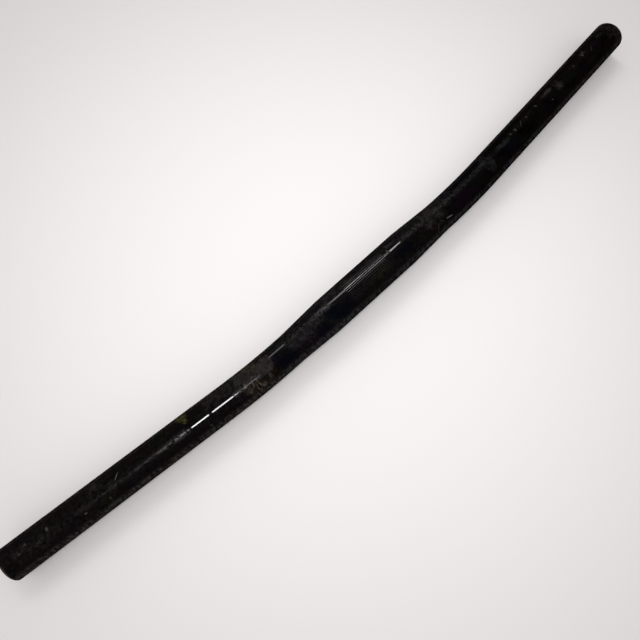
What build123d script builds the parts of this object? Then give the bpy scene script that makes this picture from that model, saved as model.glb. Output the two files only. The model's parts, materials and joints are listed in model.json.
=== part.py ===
from build123d import *
from math import asin, atan2, cos, degrees, pi, radians, sin, tan
import os

# Flat bicycle handlebar: one hollow steel tube, with no other pieces.
# A 25.4 mm tube is swaged down to the grips, so only its middle keeps the full diameter.
# A band of fine serrations rolled into the middle stops the bar from turning in the stem.
# Both sides are then bent back a little, and the ends are sawn square.
# Lengths are in millimetres and angles in degrees.
# X runs along the bar, the grips sweep back towards +Y, and Z is up as the bar lies.
# The origin is the centre of the clamped middle.

# Sizes across the tube
clamp_diameter = 25.4
grip_diameter = 22.2
wall = 1.8

# Sizes along the bar, from the middle outwards
clamp_length = 68.0  # of full diameter
taper_length = 32.0  # from corner to corner
taper_blend = 80.0  # radius that rounds both corners of a taper
taper_to_bend = 1.0  # round tube between the end of a taper and its bend
bend_radius = 540.0  # of the centre line
backsweep = 5.3  # how far each grip is swept back
overall_width = 560.0  # straight across, from one end to the other

# Serrated band, centred on the clamped middle
serration_length = 36.0
serration_count = 52
serration_depth = 0.22
serration_share = 0.6  # of the pitch that each groove takes

# Sawn ends
outer_edge_round = 0.4
inner_edge_break = 0.3

# Radii and stations that follow from the sizes above
clamp_radius = clamp_diameter / 2
grip_radius = grip_diameter / 2
taper_slope = atan2(clamp_radius - grip_radius, taper_length)
blend_reach = taper_blend * tan(taper_slope / 2)  # from a corner to where its rounding ends
taper_start = clamp_length / 2 + blend_reach
taper_end = taper_start + taper_length
bend_start = taper_end + blend_reach + taper_to_bend
bend_end = bend_start + bend_radius * sin(radians(backsweep))
bend_offset = bend_radius * (1 - cos(radians(backsweep)))
grip_reach = overall_width / 2 - grip_radius * sin(radians(backsweep)) - bend_end
grip_length = grip_reach / cos(radians(backsweep))
tip_offset = bend_offset + grip_length * sin(radians(backsweep))

# The bar lies on the underside of its middle and of both tips,
# so it is rolled until the thinner tips are as low as the middle.
resting_roll = degrees(asin((clamp_radius - grip_radius) / tip_offset))


def middle(inset):
    """Right half of the clamped middle and its taper, every radius smaller by inset."""
    outline = FilletPolyline(
        (0, clamp_radius - inset),
        (taper_start, clamp_radius - inset),
        (taper_end, grip_radius - inset),
        (bend_start, grip_radius - inset),
        radius=taper_blend,
    )
    closing = Polyline(outline @ 1, (bend_start, 0), (0, 0), outline @ 0)
    return revolve(make_face(outline + closing), Axis.X)


def swept_grip(inset):
    """Right bend and the straight grip beyond it, every radius smaller by inset."""
    bend_section = Plane((bend_start, 0, 0), z_dir=(1, 0, 0)) * Circle(grip_radius - inset)
    bend_axis = Axis((bend_start, bend_radius, 0), (0, 0, 1))
    grip_plane = Plane(
        (bend_end, bend_offset, 0),
        z_dir=(cos(radians(backsweep)), sin(radians(backsweep)), 0),
    )
    bend = revolve(bend_section, bend_axis, revolution_arc=backsweep)
    grip = extrude(grip_plane * Circle(grip_radius - inset), grip_length)
    return bend + grip


def hollow_side():
    """Right half of the tube: the outer form less the same form one wall further in."""
    return middle(0) + swept_grip(0) - middle(wall) - swept_grip(wall)


def sawn_end_edges(side):
    """The two circles of the sawn end, the inner one first."""
    sawn_end = side.faces().filter_by(GeomType.PLANE).sort_by(Axis.X)[-1]
    return sawn_end.edges().sort_by(SortBy.RADIUS)


def finish_tip(side):
    """Rounds the outer edge of the sawn end and breaks the inner one."""
    side = fillet(sawn_end_edges(side)[-1], outer_edge_round)
    return chamfer(sawn_end_edges(side)[0], inner_edge_break)


def serrations():
    """The grooves of the serrated band, as long V prisms round the middle."""
    pitch = 2 * pi * clamp_radius / serration_count
    half_width = serration_share * pitch / 2
    flank_slope = serration_depth / half_width
    over = serration_depth
    half_mouth = half_width + over / flank_slope
    profile = Plane.YZ * make_face(
        Polyline(
            (0, clamp_radius - serration_depth),
            (half_mouth, clamp_radius + over),
            (-half_mouth, clamp_radius + over),
            close=True,
        )
    )
    groove = extrude(profile, serration_length / 2, both=True)
    return [Rot(X=360 * turn / serration_count) * groove for turn in range(serration_count)]


right_side = finish_tip(hollow_side())
handlebar = right_side + mirror(right_side, Plane.YZ)
handlebar = handlebar - serrations()
handlebar = Rot(X=-resting_roll) * handlebar

os.makedirs("parts", exist_ok=True)
export_step(handlebar, "parts/handlebar.step")
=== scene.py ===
import json
from math import acos, atan2, ceil, cos, hypot, pi, radians, sin, tan

import bpy
from mathutils import Matrix, Vector


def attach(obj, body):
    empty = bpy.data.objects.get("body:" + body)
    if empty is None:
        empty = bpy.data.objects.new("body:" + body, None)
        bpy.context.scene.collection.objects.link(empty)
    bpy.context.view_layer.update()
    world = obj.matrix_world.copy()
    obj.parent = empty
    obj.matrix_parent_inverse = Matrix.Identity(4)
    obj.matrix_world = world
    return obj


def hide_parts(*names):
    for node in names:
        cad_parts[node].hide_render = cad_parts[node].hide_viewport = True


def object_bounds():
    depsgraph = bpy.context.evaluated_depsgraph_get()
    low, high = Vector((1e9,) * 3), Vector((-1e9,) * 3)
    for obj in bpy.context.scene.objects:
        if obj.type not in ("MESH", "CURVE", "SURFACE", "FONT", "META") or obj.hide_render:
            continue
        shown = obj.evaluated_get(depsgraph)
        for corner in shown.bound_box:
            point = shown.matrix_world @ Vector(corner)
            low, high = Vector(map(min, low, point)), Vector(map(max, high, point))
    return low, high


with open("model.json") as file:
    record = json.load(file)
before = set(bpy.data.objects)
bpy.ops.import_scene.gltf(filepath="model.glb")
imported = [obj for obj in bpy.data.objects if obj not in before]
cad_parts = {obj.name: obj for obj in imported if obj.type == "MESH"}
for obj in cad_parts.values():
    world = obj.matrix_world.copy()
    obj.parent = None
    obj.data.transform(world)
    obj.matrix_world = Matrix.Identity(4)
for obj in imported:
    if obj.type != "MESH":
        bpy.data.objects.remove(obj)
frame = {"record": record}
cad_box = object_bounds()

# The swaged tube. The whole bar is one piece of steel tube, thick in its middle and drawn
# down to the grips, bent a little at both sides and sawn square. A band of fine ridges is
# rolled into the middle, where the stem clamps it. Its sizes are read from the part's mounts.
mounts = {mount["name"]: mount for mount in frame["record"]["mounts"]}
seat = mounts["stem_clamp_seat"]["dims"]
grip = mounts["right_grip_seat"]
grip_axis = Vector(grip["axis"])
grip_middle = Vector(grip["pos_m"])
rim_round = 0.0004  # of a sawn end's outer edge
rim_break = 0.0003  # of its inner edge
clamp_radius = seat["r_mm"] / 1000
clamp_length = seat["length_mm"] / 1000
grip_radius = grip["dims"]["r_mm"] / 1000
wall = grip_radius - mounts["right_end_bore"]["dims"]["r_mm"] / 1000
grip_length = grip["dims"]["length_mm"] / 1000 + rim_round

# The middle and the grip axis cross at a corner, which the bend rounds off
backsweep = acos(grip_axis.x)
resting_roll = atan2(-grip_axis.z, grip_axis.y)
grip_offset = hypot(grip_middle.y, grip_middle.z)
corner_along = grip_middle.x - grip_offset / tan(backsweep)
bend_reach = grip_offset / sin(backsweep) - grip_length / 2
bend_radius = bend_reach / tan(backsweep / 2)
bend_start = corner_along - bend_reach
bend_end = bend_start + bend_radius * backsweep
tip = bend_end + grip_length

taper_length = 0.032  # from corner to corner
taper_blend = 0.080  # radius that rounds both corners
taper_slope = atan2(clamp_radius - grip_radius, taper_length)
taper_corner = clamp_length / 2 + taper_blend * tan(taper_slope / 2)

ridges = 52
steps_per_ridge = 10
band_length = 0.036
band_fade = 0.0010  # in which a groove runs out
groove_depth = 0.00022
groove_share = 0.6  # of the pitch

# How finely the form is divided: turns for each step of an arc, and steps along the bar
taper_turn = radians(1)
rim_turn = radians(15)
fewest_arc_steps = 4
bend_steps = 10
grip_steps = 8
fade_steps = (-1.2, -1, -0.75, -0.5, -0.25, 0, 0.2)
edge_step = 0.0002
weld_distance = 1e-6


def rounded(corners, finest):
    """Points of an outline through corners (along, radius, rounding), with arcs of small steps."""
    points = []
    for index, (along, radius, rounding) in enumerate(corners):
        here = Vector((along, radius))
        if rounding == 0:
            points.append(here)
            continue
        back = (Vector(corners[index - 1][:2]) - here).normalized()
        ahead = (Vector(corners[index + 1][:2]) - here).normalized()
        turn = pi - back.angle(ahead)
        middle = here + (back + ahead).normalized() * rounding / cos(turn / 2)
        steps = max(fewest_arc_steps, ceil(turn / finest))
        arm = here + back * rounding * tan(turn / 2) - middle
        side = 1 if back.x * ahead.y - back.y * ahead.x > 0 else -1
        for step in range(steps + 1):
            swing = side * turn * step / steps
            points.append(middle + Matrix.Rotation(-swing, 2) @ arm)
    return points


def side_outline(inset):
    """Stations of one face of the wall, from the middle of the bar to where its grip ends."""
    shoulders = [
        (0, clamp_radius - inset, 0),
        (taper_corner, clamp_radius - inset, taper_blend),
        (taper_corner + taper_length, grip_radius - inset, taper_blend),
        (bend_start, grip_radius - inset, 0),
    ]
    bend_length = bend_end - bend_start
    stations = [bend_start + bend_length * step / bend_steps for step in range(1, bend_steps + 1)]
    stations += [bend_end + grip_length * step / grip_steps for step in range(1, grip_steps)]
    past_taper = [Vector((station, grip_radius - inset)) for station in stations]
    return rounded(shoulders, taper_turn) + past_taper


outside = side_outline(0)
outside += [Vector((band_length / 2 + band_fade * step, clamp_radius)) for step in fade_steps]
outside.sort(key=lambda point: point.x)
rim = rounded(
    [
        (tip - rim_round - edge_step, grip_radius, 0),
        (tip, grip_radius, rim_round),
        (tip, grip_radius - rim_round - edge_step / 4, 0),
        (tip, grip_radius - wall + rim_break + edge_step / 4, 0),
        (tip, grip_radius - wall + rim_break, 0),
        (tip - rim_break, grip_radius - wall, 0),
        (tip - rim_break - edge_step, grip_radius - wall, 0),
    ],
    rim_turn,
)
half_outline = outside + rim + side_outline(wall)[::-1]
bore_from = len(outside) + len(rim) - 2  # the rim's last two points lie in the bore
outline = [(point.x, point.y, 0) for point in half_outline]
outline += [(-along, radius, 0) for along, radius, _ in outline[-2:0:-1]]
in_bore = [0.0] * bore_from + [1.0] * (len(half_outline) - bore_from)
in_bore += in_bore[-2:0:-1]

paint = bpy.data.materials.new("gloss_black_paint")
bare_steel = bpy.data.materials.new("bare_steel")
paint.use_nodes = True
bare_steel.use_nodes = True

section = bpy.data.meshes.new("tube_section")
section.from_pydata(outline, [(row, (row + 1) % len(outline)) for row in range(len(outline))], [])
section.attributes.new("bore", "FLOAT", "POINT").data.foreach_set("value", in_bore)
turning = bpy.data.objects.new("tube_section", section)
bpy.context.scene.collection.objects.link(turning)


class Field:
    """A socket of a node tree. Arithmetic on it adds Math nodes, and node() adds any other node."""

    def __init__(self, tree, socket=None):
        self.tree = tree
        self.socket = socket

    def node(self, kind, settings=(), sockets=(), output=0):
        """Adds a node: its settings come first, then the values or links of its sockets."""
        made = self.tree.nodes.new(kind)
        for name, value in dict(settings).items():
            setattr(made, name, value)
        for name, value in dict(sockets).items():
            if isinstance(value, Field):
                self.tree.links.new(value.socket, made.inputs[name])
            else:
                made.inputs[name].default_value = value
        return Field(self.tree, made.outputs[output])

    def out(self, output):
        """Another output of the node that this socket belongs to."""
        return Field(self.tree, self.socket.node.outputs[output])

    def math(self, operation, *others):
        return self.node("ShaderNodeMath", {"operation": operation}, enumerate((self, *others)))

    def __add__(self, other):
        return self.math("ADD", other)

    __radd__ = __add__

    def __mul__(self, other):
        return self.math("MULTIPLY", other)

    __rmul__ = __mul__

    def __sub__(self, other):
        return self.math("SUBTRACT", other)

    def __rsub__(self, other):
        return (self * -1).math("ADD", other)

    def __truediv__(self, other):
        return self.math("DIVIDE", other)

    def __pow__(self, other):
        return self.math("POWER", other)

    def __gt__(self, other):
        return self.math("GREATER_THAN", other)

    def __abs__(self):
        return self.math("ABSOLUTE")


# The tree turns the section round the bar's line, cuts the grooves and bends both sides
tree = bpy.data.node_groups.new("turned_and_bent_tube", "GeometryNodeTree")
tree.is_modifier = True
tree.interface.new_socket("Geometry", in_out="OUTPUT", socket_type="NodeSocketGeometry")
tree.interface.new_socket("Section", in_out="INPUT", socket_type="NodeSocketGeometry")
tube_sizes = {
    "Ridges": ("Int", ridges),
    "Steps per ridge": ("Int", steps_per_ridge),
    "Band length": ("Float", band_length),
    "Band fade": ("Float", band_fade),
    "Groove depth": ("Float", groove_depth),
    "Groove share": ("Float", groove_share),
    "Bend start": ("Float", bend_start),
    "Bend radius": ("Float", bend_radius),
    "Backsweep": ("Float", backsweep),
    "Resting roll": ("Float", resting_roll),
    "Half length": ("Float", tip),
    "Paint": ("Material", paint),
    "Bare steel": ("Material", bare_steel),
}
identifiers = {}
for name, (kind, value) in tube_sizes.items():
    made = tree.interface.new_socket(name, in_out="INPUT", socket_type="NodeSocket" + kind)
    identifiers[name] = made.identifier

given = Field(tree).node("NodeGroupInput")
size = {name: given.out(name) for name in tube_sizes}
place = given.node("GeometryNodeInputPosition")
rows = given.node("GeometryNodeAttributeDomainSize", (), {"Geometry": given})
columns = size["Ridges"] * size["Steps per ridge"]
sheet = given.node(
    "GeometryNodeMeshGrid",
    (),
    {"Size X": rows, "Size Y": columns, "Vertices X": rows + 1, "Vertices Y": columns + 1},
)
at = place.node("ShaderNodeSeparateXYZ", (), {0: place})
row = (at + rows / 2).math("ROUND").math("MODULO", rows)
turn = (at.out("Y") / columns + 0.5).math("MULTIPLY", 2 * pi) - pi
station = row.node(
    "GeometryNodeSampleIndex",
    {"data_type": "FLOAT_VECTOR"},
    {"Geometry": given, "Value": place, "Index": row},
)
bore_mark = row.node("GeometryNodeInputNamedAttribute", {"data_type": "FLOAT"}, {"Name": "bore"})
is_bore = row.node(
    "GeometryNodeSampleIndex",
    {"data_type": "FLOAT"},
    {"Geometry": given, "Value": bore_mark, "Index": row},
)
profile = station.node("ShaderNodeSeparateXYZ", (), {0: station})
along = profile.out("X")
distance = abs(along)

groove = 1 - (turn * size["Ridges"] / (2 * pi)).math("PINGPONG", 0.5) * 2 / size["Groove share"]
fade = (size["Band length"] / 2 - distance) / size["Band fade"]
cut = groove.math("MAXIMUM", 0) * fade.math("MAXIMUM", 0).math("MINIMUM", 1) * (1 - is_bore)
radius = profile.out("Y") - cut * size["Groove depth"]

swing = (distance - size["Bend start"]) / size["Bend radius"]
swing = swing.math("MAXIMUM", 0).math("MINIMUM", size["Backsweep"])
past_bend = distance - size["Bend start"] - size["Bend radius"] * size["Backsweep"]
past_bend = past_bend.math("MAXIMUM", 0)
outward = radius * turn.math("SINE")
arm = size["Bend radius"] - outward
reach = distance.math("MINIMUM", size["Bend start"]) + swing.math("SINE") * arm
reach = reach + past_bend * swing.math("COSINE")
sweep = size["Bend radius"] - arm * swing.math("COSINE")
sweep = sweep + past_bend * swing.math("SINE")
bent = place.node(
    "ShaderNodeCombineXYZ",
    (),
    {"X": reach * along.math("SIGN"), "Y": sweep, "Z": radius * turn.math("COSINE")},
)
laid = bent.node(
    "ShaderNodeVectorRotate",
    {"rotation_type": "X_AXIS"},
    {"Vector": bent, "Angle": size["Resting roll"] * -1},
)
surface_map = place.node(
    "ShaderNodeCombineXYZ",
    (),
    {"X": along / size["Half length"] / 2 + 0.5, "Y": turn / (2 * pi) + 0.5},
)
mapped = sheet.node(
    "GeometryNodeStoreNamedAttribute",
    {"data_type": "FLOAT2", "domain": "CORNER"},
    {"Geometry": sheet, "Name": "UVMap", "Value": surface_map},
)
painted = mapped.node("GeometryNodeSetMaterial", (), {"Geometry": mapped, "Material": size["Paint"]})
two_faced = painted.node(
    "GeometryNodeSetMaterial",
    (),
    {"Geometry": painted, "Selection": is_bore > 0.5, "Material": size["Bare steel"]},
)
formed = two_faced.node("GeometryNodeSetPosition", (), {"Geometry": two_faced, "Position": laid})
closed = formed.node(
    "GeometryNodeMergeByDistance", (), {"Geometry": formed, "Distance": weld_distance}
)
smooth = closed.node("GeometryNodeSetShadeSmooth", (), {"Geometry": closed, "Shade Smooth": True})
finished = smooth.node("GeometryNodeRealizeInstances", (), {"Geometry": smooth})
tree.links.new(finished.socket, tree.nodes.new("NodeGroupOutput").inputs[0])

modifier = turning.modifiers.new("form", "NODES")
modifier.node_group = tree
for name, (kind, value) in tube_sizes.items():
    modifier[identifiers[name]] = value
evaluated = turning.evaluated_get(bpy.context.evaluated_depsgraph_get())
tube = bpy.data.objects.new("handlebar_tube", bpy.data.meshes.new_from_object(evaluated))
tube.data.materials.pop(index=0)  # the empty slot that the grid came with
bpy.context.scene.collection.objects.link(tube)
turning.modifiers.remove(modifier)
bpy.data.objects.remove(turning)
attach(tube, "root")
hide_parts("handlebar")

# The paint. Black gloss enamel over the whole outside. It is old: the gloss is worn off most of
# it, dust and grime are rubbed in, clamps have scraped it, and rust shows where it is thin.
# Its marks are placed in millimetres along the bar from its middle and degrees round from its top.
skin_map = Field(paint.node_tree).node("ShaderNodeUVMap", {"uv_map": "UVMap"})
solid = skin_map.node("ShaderNodeTexCoord", (), (), "Object")
unrolled = skin_map.node("ShaderNodeSeparateXYZ", (), {0: skin_map})
tip_mm = tip * 1000
along = (unrolled - 0.5) * (2 * tip_mm)
around = (unrolled.out("Y") - 0.5) * 360
mm_per_degree = radians(1) * grip_radius * 1000


def noise(coordinates, size_mm, detail=2.0, stretch=(1, 1, 1)):
    """Noise about 0.5, in lumps of the given size."""
    scaled = coordinates.node("ShaderNodeMapping", (), {"Vector": coordinates, "Scale": stretch})
    return scaled.node(
        "ShaderNodeTexNoise", (), {"Vector": scaled, "Scale": 1000 / size_mm, "Detail": detail}
    )


def ramp(value, low, high, top=1.0):
    """0 at low and the top value at high, smooth between and level beyond."""
    return value.node(
        "ShaderNodeMapRange",
        {"interpolation_type": "SMOOTHSTEP"},
        {"Value": value, "From Min": low, "From Max": high, "To Max": top},
    )


def blend(first, second, share):
    """One colour over another by a share: each is a colour field or a plain colour."""
    return share.node("ShaderNodeMix", {"data_type": "RGBA"}, {"Factor": share, 6: first, 7: second}, 2)


ragged = noise(solid, 5, 5) - 0.5
mottle = noise(solid, 2.4, 5)
grain = noise(solid, 0.9, 3)


def spot(strength, middle, angle, length, width, lean=0.0, edge=0.4, torn=1.4):
    """A round mark: its middle and its half sizes in mm and degrees, leaning in degrees."""
    height = width * mm_per_degree
    rise = angle * mm_per_degree
    ahead, aside = cos(radians(lean)), sin(radians(lean))
    lengthways = along.math("MULTIPLY_ADD", ahead / length, -(middle * ahead + rise * aside) / length)
    sideways = around.math("MULTIPLY_ADD", ahead / width, (middle * aside - rise * ahead) / height)
    if lean:
        lengthways = around.math("MULTIPLY_ADD", mm_per_degree * aside / length, lengthways)
        sideways = along.math("MULTIPLY_ADD", -aside / height, sideways)
    away = sideways.math("MULTIPLY_ADD", sideways, lengthways * lengthways) ** 0.5
    return ramp(ragged.math("MULTIPLY_ADD", torn, away), 1 + edge, 1 - edge, strength)


def patch(strength, start, end, low, high, soft=1.2, torn=12.0):
    """A mark with straight sides: its ends in mm along the bar and its sides in degrees round it."""
    half_height = (high - low) / 2 * mm_per_degree
    lengthways = abs(along - (start + end) / 2) - (end - start) / 2
    sideways = abs(around - (low + high) / 2).math("MULTIPLY_ADD", mm_per_degree, -half_height)
    beyond = lengthways.math("MAXIMUM", sideways)
    return ramp(ragged.math("MULTIPLY_ADD", torn, beyond), soft, -soft, strength)


def together(make, places, **look):
    """All marks of a kind, each place being what make() takes: the strongest shows."""
    result = make(*places[0], **look)
    for place in places[1:]:
        result = result.math("MAXIMUM", make(*place, **look))
    return result


# The clean gloss, by how much of it is left, and the satin finish that wear made of the rest.
# Both run along the bar in one narrow streak, lower on the left side than on the right.
left_streak = -14
right_streak = 8
clean_gloss = together(
    patch,
    [
        (1.00, -147.3, -134.4, -44, 16),
        (0.93, -131.8, -116.0, -44, 16),
        (0.24, -84.0, -71.0, -4, 34),
        (1.00, -18, 4, -22, 38),
        (0.80, 4, 17, -22, 38),
        (0.28, 17, 21, -22, 38),
        (1.00, 22.5, 32.4, -22, 38),
    ],
    soft=0.6,
    torn=1.4,
)
streak_at = ramp(along, -110, -90, right_streak - left_streak) + left_streak
clean_gloss = clean_gloss * ramp(abs(around - streak_at) + ragged * 30, 24, 12)
fading_in = ramp(along, -40, -24, 0.38) * ramp(along, -17, -19) * ramp(abs(around - 10), 18, 10)
clean_gloss = clean_gloss.math("MAXIMUM", fading_in * ramp(mottle, 0.30, 0.50))
dulled = 1 - ramp(clean_gloss, 0.1, 0.3)
satin_left = (ramp(along, -235, -205, 0.12) + ramp(along, -182, -156, 0.44)) * ramp(along, -148, -151)
torn_left = ramp(along, -117, -115, 0.34) + ramp(along, -109, -105, 0.86)
satin_left = satin_left + torn_left * ramp(along, -92, -98)
satin_right = ramp(along, -86, -84, 0.14) + ramp(along, -60, -32, 0.34) * ramp(along, 34, 32)
satin_right = satin_right + ramp(along, 33, 36, 0.18) - ramp(along, 56, 62, 0.04)
satin_right = satin_right - ramp(along, 112, 130, 0.24) - ramp(along, 176, 190, 0.022)
satin = satin_left * ramp(abs(around - left_streak), 20, 9)
satin = satin + satin_right * ramp(abs(around - right_streak), 16, 7)
satin = satin * ramp(mottle + grain, 0.78, 1.15, 1.5) * dulled
glints = together(
    spot,
    [
        (0.48, -103, -13, 3.5, 9),
        (0.16, -165, -14, 3.5, 7),
        (0.25, -106, -14, 2, 6),
        (0.12, -97, -12, 3, 9),
        (0.60, -113.5, -13, 1.5, 6),
        (0.60, 18, 8, 1, 5),
    ],
)
turned_away = ramp(around, 74, 94, 0.6) + ramp(around, -100, -120, 0.6)
old_gloss = (ramp(noise(solid, 26, 3), 0.40, 0.62, 0.6) + 0.4) * turned_away

# The dust: even patches, places where it is caked, clouds, a line along each edge, and a haze. The line
# along each edge is partly dust and partly a painted reflection of the pale floor.
dust = together(
    patch,
    [
        (0.34, -134, -112, -2, 40),
        (0.58, -113, -97, -20, 56),
        (0.22, -54, -38, -24, 12),
        (0.12, -50, -19, 20, 56),
        (0.15, 33, 54, 14, 50),
        (0.25, 270, 281, -60, 60),
    ],
    soft=2.6,
    torn=16.0,
)
caked = together(
    spot,
    [
        (0.85, -91, 3, 7.4, 31),
        (0.50, -86, 24, 3, 10),
        (0.16, -60, 8, 12, 30),
        (0.36, 120.4, 0, 5.0, 40),
    ],
    edge=0.16,
    torn=1.0,
)
clouds = together(
    spot,
    [
        (0.44, -64, -6, 6, 20),
        (0.46, -55, -8, 7, 22),
        (0.40, -46, -4, 6, 18),
        (0.35, -266, 0, 6, 12),
        (0.30, -254, -14, 5, 8),
        (0.40, -214, 24, 4, 16),
        (0.50, -205, -14, 3, 14),
        (0.35, -225, -16, 4, 8),
        (0.16, -252, -12, 14, 20),
        (0.12, -196, -14, 20, 10),
        (0.56, 63, 12, 10, 34),
        (0.40, 74, 30, 4, 14),
        (0.15, 83, 32, 5, 14),
        (0.12, 100, 12, 14, 7),
        (0.50, -15, 30, 4, 14),
        (0.35, -30, 34, 8, 12),
        (0.60, 136.5, 6, 4, 8),
        (0.55, 143, 4, 4, 8),
        (0.90, 197, 18, 5, 7),
        (0.70, 207, 4, 3, 18),
        (0.35, 242, 20, 3, 7),
        (0.30, 265, 22, 3, 9),
    ],
    edge=0.7,
    torn=2.4,
)
dust = dust.math("MAXIMUM", caked).math("MAXIMUM", clouds)
left_side = ramp(along, 130, -20)
across = noise(solid, 1.6, 4, (1, 0.45, 0.45))
# Along both edges the grey dust colour also stands in for a painted reflection of the pale floor
low_edge = ramp(around, -50, -68) * (ramp(around, -110, -92, 0.6) + 0.4)
low_edge = low_edge * (1 - ramp(around, -71, -80, 0.95) * (1 - left_side * 0.75))
high_edge = ramp(around, 34, 54) * (ramp(around, 76, 62, 0.6) + 0.4)
edge_dust_and_reflection = low_edge * (left_side * 0.27 + 0.65) + high_edge * 0.42
edge_dust_and_reflection = edge_dust_and_reflection * ramp(across, 0.34, 0.66)
drift = noise(solid, 11, 2).out("Color")
drift = drift.node("ShaderNodeSeparateColor", (), {0: drift})
haze = left_side * 0.056 + 0.002 - ramp(along, -222, -206, 0.04) * ramp(along, -112, -122)
haze = haze * (ramp(drift.out("Green"), 0.38, 0.62, 1.1) + 0.45)
thick = ramp(dust, 0.0, 0.8, 0.7)
spread = ramp(mottle, 0.32, 0.66) * (1 - thick) + thick * 0.7
dust_and_edge_reflection = (dust + haze) * spread * ramp(grain, 0.10, 0.85, 1.9) + edge_dust_and_reflection
specks = ramp(grain, 0.66, 0.75) * (left_side * 0.42 + 0.08)

# The damage: rust that has been scraped, yellow-green grime, chips and scratches
rust = together(
    spot,
    [
        (1.0, -101.5, -36, 6, 28),
        (0.5, -93, -36, 4, 12),
        (0.4, -88.5, 46, 2, 8),
    ],
    torn=2.2,
)
scrapes = ramp(noise(solid, 0.6, 3, (1, 0.10, 0.10)), 0.50, 0.60) * ramp(mottle, 0.3, 0.55)

grime = together(
    spot,
    [
        (1.00, -149.6, 40, 3.6, 17),
        (1.00, -148.6, 18, 1.4, 11),
        (0.30, -98, 34, 5, 16),
        (0.20, 9, -20, 7, 20),
        (0.08, -210, -34, 3, 16),
        (0.25, -15, 29, 5, 9),
    ],
    torn=1.0,
)

chips = together(
    spot,
    [
        (0.6, -247.5, 4, 0.8, 6),
        (0.6, -225, -30, 0.9, 3),
        (0.3, -209, -38, 0.8, 3),
        (0.3, -262, 6, 0.7, 4),
        (0.3, -267, -8, 0.7, 3),
        (0.8, -97, -50, 0.6, 4),
        (0.3, -137, -47, 0.8, 4),
        (0.5, 150, 10, 0.9, 4),
        (0.5, 155, 8, 0.9, 6),
        (0.4, 169, 10, 0.8, 3),
        (0.4, 181, 13, 0.7, 6),
        (0.3, 194, -19, 0.8, 3),
        (0.3, 228, 9, 0.7, 4),
        (0.4, 240.5, 13, 0.8, 5),
    ],
    torn=1.0,
)

scratches = together(
    spot,
    [
        (0.8, -199.3, 6, 2.3, 1.5, 42),
        (1.0, 72, -42, 2.6, 2.0, -12),
        (0.2, 66, -36, 2.0, 1.6, -35),
        (0.25, 162, 9, 3.0, 1.4, 40),
        (0.2, 250, 4, 2.6, 1.2, 38),
        (0.2, 61, -42, 2.4, 1.4, 50),
        (0.3, 243, 20, 2.6, 1.4, 50),
    ],
    torn=0.5,
)

# Dirt fills the rolled grooves, so only the ridges between them are rubbed bright
pitch = 360 / ridges
band_end_mm = band_length / 2 * 1000
in_band = ramp(abs(along), band_end_mm + 0.3, band_end_mm - 0.3)
ridge_top = ramp((around / pitch).math("PINGPONG", 0.5), 0.26, 0.32)
grooves = in_band * (1 - ridge_top)
on_top = ramp(abs(around - 7), 9, 6, 0.95) + ramp(abs(around), 40, 30, 0.10)
rubbed = in_band * ridge_top * on_top * ramp(mottle + grain, 0.7, 1.1)
rim_wear = ramp(abs(along) + ragged * 3, tip_mm - 1.4, tip_mm - 0.3)

# The black is darker on the right, and its tint drifts between brown, purple, olive and navy
left_blacks = ((0.0020, 0.0016, 0.0018, 1), (0.0056, 0.0047, 0.0047, 1))
right_blacks = ((0.0007, 0.0005, 0.0005, 1), (0.0018, 0.0014, 0.0012, 1))
lumps = ramp(mottle + grain, 0.70, 1.35)
black = blend(blend(*left_blacks, lumps), blend(*right_blacks, lumps), 1 - left_side)
cool = ramp(along, -86, -82) * ramp(along, 185, 165) * (1 - spot(1.0, 63, 12, 12, 40))
purple = together(
    spot,
    [
        (0.5, -160, -42, 14, 14),
        (0.4, -140, 20, 6, 16),
        (0.5, -46, -42, 6, 12),
        (0.8, 50, -12, 4, 7),
        (0.8, 92, -26, 16, 24),
        (1.0, 108, -6, 6, 9),
        (0.6, 80, 24, 6, 9),
        (0.6, 156, 14, 4, 9),
        (0.5, 148, -28, 6, 10),
        (0.6, 181, -16, 6, 8),
        (0.4, 190, 26, 8, 10),
        (0.4, -268, 4, 5, 24),
    ],
    edge=0.6,
)
olive = together(
    spot,
    [
        (0.7, -210, -40, 4, 9),
        (0.6, -206, -16, 3, 9),
        (0.4, -245, 0, 12, 22),
        (0.6, -180, 2, 6, 10),
        (0.5, -28, -30, 8, 16),
        (0.8, 47, 24, 6, 12),
        (0.8, 74, 27, 4, 7),
        (0.7, 128, -34, 5, 14),
        (0.9, 154, -42, 5, 9),
        (0.6, 192, -48, 4, 6),
        (1.0, 219, -8, 9, 17),
        (0.6, 211, -46, 5, 7),
        (0.9, 246, -26, 6, 12),
        (0.4, 252, 22, 8, 10),
    ],
    edge=0.6,
)
brown = together(
    spot,
    [
        (0.5, -236, 30, 22, 12),
        (0.5, -192, 30, 16, 10),
        (0.8, -88, -44, 6, 12),
        (0.5, -8, -46, 14, 14),
        (0.5, 56, -44, 8, 12),
        (0.3, 116, -46, 7, 9),
        (0.6, 232, 16, 18, 16),
        (0.6, 241, -24, 5, 10),
        (0.5, 170, 16, 7, 12),
    ],
    edge=0.6,
)
navy = together(
    spot,
    [
        (1.0, -75, -28, 7, 19),
        (0.7, -78, 0, 7, 8),
        (0.8, -44, -34, 6, 14),
        (1.0, -34, -16, 7, 15),
        (1.0, -27, -34, 9, 19),
        (0.9, 31, -20, 7, 12),
        (0.6, 98, 24, 6, 9),
        (0.6, 112, 24, 5, 9),
        (0.8, 144, -16, 7, 12),
        (0.5, 120, 22, 6, 10),
    ],
    edge=0.6,
)
dust_and_edge_reflection = dust_and_edge_reflection * (1 - navy * 0.75)
purple = purple.math("MAXIMUM", ramp(drift, 0.50, 0.62, 0.50))
olive = olive.math("MAXIMUM", ramp(drift.out("Green"), 0.53, 0.63, 0.45))
brown = brown.math("MAXIMUM", ramp(drift.out("Blue"), 0.51, 0.61, 0.40) * (1 - cool * 0.8))

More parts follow.
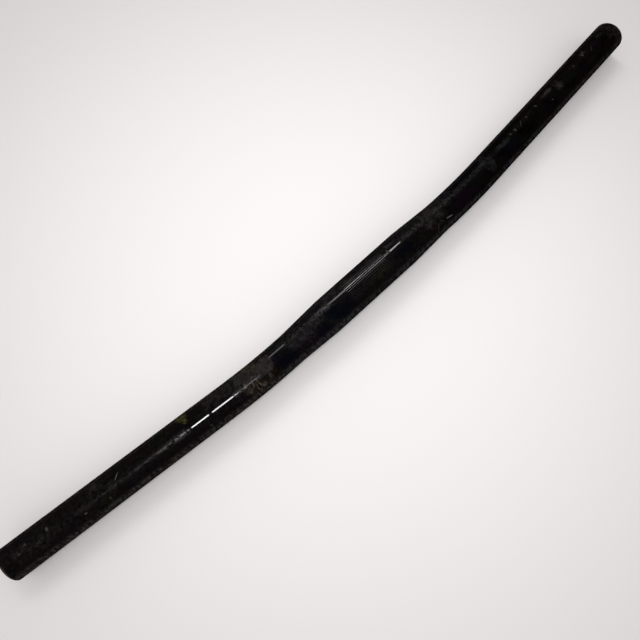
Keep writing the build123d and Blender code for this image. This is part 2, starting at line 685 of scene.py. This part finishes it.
# Each tint: where it lies, the black and the dust that it gives, and how far the dust takes it
tints = [
    (purple, (0.0036, 0.0018, 0.0038, 1), (0.0310, 0.0235, 0.0310, 1), 0.7),
    (olive, (0.0018, 0.0028, 0.0013, 1), (0.0235, 0.0275, 0.0190, 1), 0.7),
    (brown, (0.0042, 0.0024, 0.0016, 1), (0.0330, 0.0250, 0.0190, 1), 0.5),
    (navy, (0.0014, 0.0020, 0.0036, 1), (0.0190, 0.0230, 0.0310, 1), 0.7),
]
warm_dust_and_reflection = (0.0300, 0.0270, 0.0245, 1)
cool_dust_and_reflection = (0.0265, 0.0252, 0.0272, 1)
grey = blend(warm_dust_and_reflection, cool_dust_and_reflection, cool)
for tint, tinted_black, tinted_dust_and_reflection, taken in tints:
    black = blend(black, tinted_black, tint)
    grey = blend(grey, tinted_dust_and_reflection, tint * taken)

# Each layer over the dusty black, from the lowest up: where it lies and its colour
layers = [
    (satin, (0.0420, 0.0390, 0.0390, 1)),
    (specks, (0.0420, 0.0390, 0.0370, 1)),
    (rust, (0.0085, 0.0052, 0.0038, 1)),
    (rust * scrapes, (0.0860, 0.0680, 0.0560, 1)),
    (grime * ramp(grain, 0.32, 0.64), (0.0400, 0.0410, 0.0130, 1)),
    (grooves * 0.8, (0.0038, 0.0032, 0.0030, 1)),
    (chips, (0.0620, 0.0570, 0.0540, 1)),
    (scratches, (0.0900, 0.0800, 0.0780, 1)),
    (rim_wear, (0.0500, 0.0440, 0.0400, 1)),
    (rubbed, (0.0660, 0.0610, 0.0630, 1)),
]
# The grey goes on here: dust, and along both edges a painted reflection of the floor
colour = blend(black, grey, dust_and_edge_reflection)
for layer, layer_colour in layers:
    colour = blend(colour, layer_colour, layer)

# The bare paint is rough, the streaks are a coat over it, and the satin is a weak metal sheen
roughness = (0.55 + (grain - 0.5) * 0.3).math("MAXIMUM", dust * 0.8).math("MAXIMUM", rust * 0.8)
roughness = roughness - rubbed * 0.4 - ramp(satin, 0.0, 0.2, 0.23)
shiny = (ramp(satin, 0.0, 0.16, 0.95) * (1 - rust * 0.4)).math("MAXIMUM", rubbed)

core = satin_left * ramp(abs(around - left_streak), 14, 6) * ramp(mottle + grain, 0.80, 1.10, 0.74)
gloss = clean_gloss.math("MAXIMUM", old_gloss).math("MAXIMUM", glints).math("MAXIMUM", core) + 0.01
marked = chips.math("MAXIMUM", scratches).math("MAXIMUM", grooves).math("MAXIMUM", grime)
gloss = gloss * (1 - marked) * (1 - caked * 0.8)

relief = noise(solid, 6, 1) * 0.05 + grain * (dulled + dust_and_edge_reflection * 2) + scrapes * rust
relief = relief - chips * 0.4 - scratches * 0.4
bump = relief.node("ShaderNodeBump", (), {"Height": relief, "Distance": 0.0001, "Strength": 0.6})
enamel = paint.node_tree.nodes["Principled BSDF"]
enamel.inputs["Specular IOR Level"].default_value = 0.0
enamel.inputs["Coat Roughness"].default_value = 0.07
enamel.inputs["Coat IOR"].default_value = 1.5
look = {
    "Base Color": colour,
    "Metallic": shiny,
    "Roughness": roughness,
    "Coat Weight": gloss,
    "Normal": bump,
}
for name, value in look.items():
    paint.node_tree.links.new(value.socket, enamel.inputs[name])

# The bore. Bare drawn steel inside the tube, never painted, gone dark with a little rust.
# Only the open ends show it.
solid = Field(bare_steel.node_tree).node("ShaderNodeTexCoord", (), (), "Object")
dark_steel = (0.060, 0.052, 0.047, 1)
rusty_steel = (0.050, 0.026, 0.014, 1)
drawn = blend(dark_steel, rusty_steel, ramp(noise(solid, 3.5, 4), 0.42, 0.62))
steel = bare_steel.node_tree.nodes["Principled BSDF"]
steel.inputs["Metallic"].default_value = 0.6
roughness = 0.45 + noise(solid, 2.0, 3) * 0.3
for name, value in (("Base Color", drawn), ("Roughness", roughness)):
    bare_steel.node_tree.links.new(value.socket, steel.inputs[name])

# The floor. A pale matt disc that the bar lies on, far wider than the bar. Its colour holds a
# painted pool of light: it is brightest under the bar and fades a little outwards.
floor_height = cad_box[0].z
floor_reach = 3.2
floor_sides = 128
corner_angles = [2 * pi * side / floor_sides for side in range(floor_sides)]
floor_edge = [
    (floor_reach * cos(angle), floor_reach * sin(angle), floor_height) for angle in corner_angles
]
floor_mesh = bpy.data.meshes.new("floor")
floor_mesh.from_pydata(floor_edge, [], [range(floor_sides)])
floor = bpy.data.objects.new("floor", floor_mesh)
bpy.context.scene.collection.objects.link(floor)
floor_paint = bpy.data.materials.new("pale_floor")
floor_paint.use_nodes = True
floor_mesh.materials.append(floor_paint)
light_pool_centre = (-0.013, 0.018, floor_height)
fade_from = 0.01
fade_to = 0.44
solid = Field(floor_paint.node_tree).node("ShaderNodeTexCoord", (), (), "Object")
away = solid.node(
    "ShaderNodeVectorMath", {"operation": "DISTANCE"}, {0: solid, 1: light_pool_centre}, "Value"
)
light_pool_colour = (0.922, 0.893, 0.887, 1)
outer_floor_colour = (0.580, 0.557, 0.551, 1)
# The painted pool of light: the floor's colour is lightest round one point and darker away from it
pale = blend(light_pool_colour, outer_floor_colour, ramp(away, fade_from, fade_to))
matt = floor_paint.node_tree.nodes["Principled BSDF"]
matt.inputs["Roughness"].default_value = 0.9
matt.inputs["Specular IOR Level"].default_value = 0.0
floor_paint.node_tree.links.new(pale.socket, matt.inputs["Base Color"])

# The room. It is pale round its foot, like the floor, and dim overhead, so that the black
# paint stays black.
room = bpy.data.worlds.new("room")
bpy.context.scene.world = room
room.use_nodes = True
outward = Field(room.node_tree).node("ShaderNodeTexCoord", (), (), "Generated")
upward = outward.node("ShaderNodeSeparateXYZ", (), {0: outward}, "Z")
foot_colour = (0.560, 0.537, 0.531, 1)
dim_colour = (0.026, 0.026, 0.028, 1)
foot_height = 0.04
dim_height = 0.62
shown = blend(foot_colour, dim_colour, ramp(upward, foot_height, dim_height))
room.node_tree.links.new(shown.socket, room.node_tree.nodes["Background"].inputs["Color"])

# The lamps. Two bright ones draw the two streaks along the top of the bar, each with a weaker
# glow beside it. A wide, soft ceiling lights the dust and the floor, and isn't mirrored.


def lamp(name, place, aim, first_side, size, radiance, mirrored=True):
    """A flat lamp that faces aim, with its first side along the given direction."""
    light = bpy.data.lights.new(name, "AREA")
    light.shape = "RECTANGLE"
    light.size, light.size_y = size
    light.energy = pi * size[0] * size[1] * radiance
    made = bpy.data.objects.new(name, light)
    back = (Vector(place) - Vector(aim)).normalized()
    side = (Vector(first_side) - Vector(first_side).project(back)).normalized()
    turn = Matrix((side, back.cross(side), back)).transposed().to_4x4()
    made.matrix_world = Matrix.Translation(place) @ turn
    made.visible_glossy = mirrored
    bpy.context.scene.collection.objects.link(made)


lamp("overhead_lamp", (-0.328, -0.170, 1.5), (-0.14, 0, 0), (1, 0, 0), (0.205, 0.20), 25)
lamp("overhead_glow", (-0.330, -0.150, 1.501), (-0.14, 0, 0), (1, 0, 0), (1.00, 0.20), 3.2)
lamp("side_lamp", (0.400, 1.280, 1.5), (0, 0, 0), (0.685, -0.840, 0), (1.08, 0.28), 8.5)
lamp("side_glow", (1.180, 1.220, 1.5), (0.08, 0, 0), (0.80, 0.60, 0), (0.75, 0.45), 1.2)
lamp("soft_ceiling", (0, 0, 2.2), (0, 0, 0), (1, 0, 0), (14, 14), 0.675, mirrored=False)

# The camera. It stands where the photograph was taken, close above the bar's left half. Its
# place, turn and lens were fitted to both edges of the bar in a picture 640 pixels wide.
pixels = 640
focal_pixels = 526.87
camera = bpy.data.objects.new("camera", bpy.data.cameras.new("camera"))
camera.data.lens = focal_pixels / pixels * camera.data.sensor_width
camera.data.clip_start = 0.01
camera_place = Vector((-0.10203, -0.06099, 0.34031))
picture_right = Vector((0.733286, -0.679885, 0.006929))
picture_up = Vector((0.657527, 0.711693, 0.247288))
half_pixel = 0.5 / focal_pixels  # from a pixel's corner to its centre
forward = picture_up.cross(picture_right) - picture_right * half_pixel + picture_up * half_pixel
forward.normalize()
picture_right = forward.cross(picture_up).normalized()
axes = Matrix((picture_right, picture_right.cross(forward), -forward)).transposed().to_4x4()
camera.matrix_world = Matrix.Translation(camera_place) @ axes
bpy.context.scene.collection.objects.link(camera)
bpy.context.scene.camera = camera
bpy.context.scene.view_settings.view_transform = "Standard"
